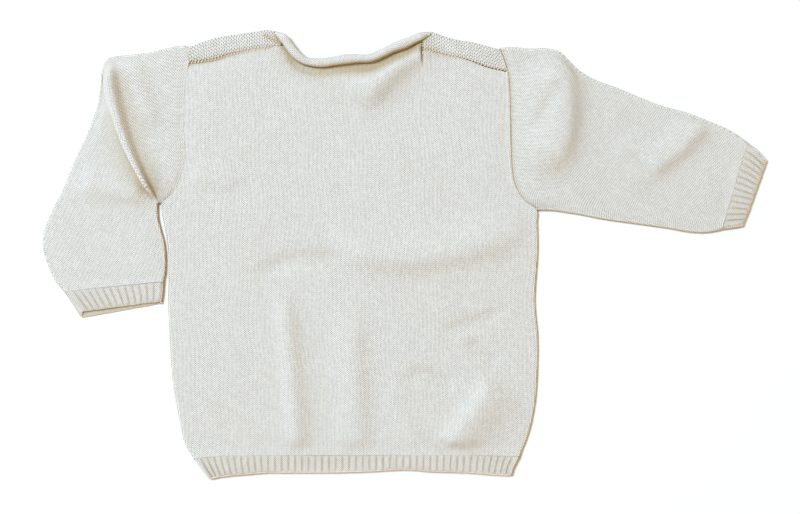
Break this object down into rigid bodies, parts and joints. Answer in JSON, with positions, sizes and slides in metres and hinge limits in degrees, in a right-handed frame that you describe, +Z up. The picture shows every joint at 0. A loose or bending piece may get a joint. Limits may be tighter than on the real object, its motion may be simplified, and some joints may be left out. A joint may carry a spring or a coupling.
{
  "type": "baby cardigan",
  "caption": "Fine-knit cream baby cardigan laid flat face down, one long sleeve stretched out and the other folded down, with ribbed hem and cuffs and a rolled neck edge",
  "frame": {"origin": "centre of the bounding box, on the surface that the cardigan lies on", "axes": "+X towards the wearer's right sleeve, +Y towards the neck, +Z up, out of the back of the cardigan"},
  "size_m": [0.507, 0.3141, 0.0087],
  "materials": {
    "cotton_knit": "fine cream cotton stocking stitch, matt, slightly fuzzy",
    "cotton_rib": "the same cream cotton in two-by-one rib, matt"
  },
  "bodies": {
    "root": {"back": "cotton_knit", "front_left": "cotton_knit", "front_right": "cotton_knit", "sleeve_left": "cotton_knit", "sleeve_right": "cotton_knit", "cuff_left": "cotton_rib", "cuff_right": "cotton_rib", "hem_back": "cotton_rib", "hem_front_left": "cotton_rib", "hem_front_right": "cotton_rib", "neckband_back": "cotton_knit", "neckband_front_left": "cotton_knit", "neckband_front_right": "cotton_knit", "front_band_left": "cotton_rib", "front_band_right": "cotton_rib"}
  },
  "joints": []
}
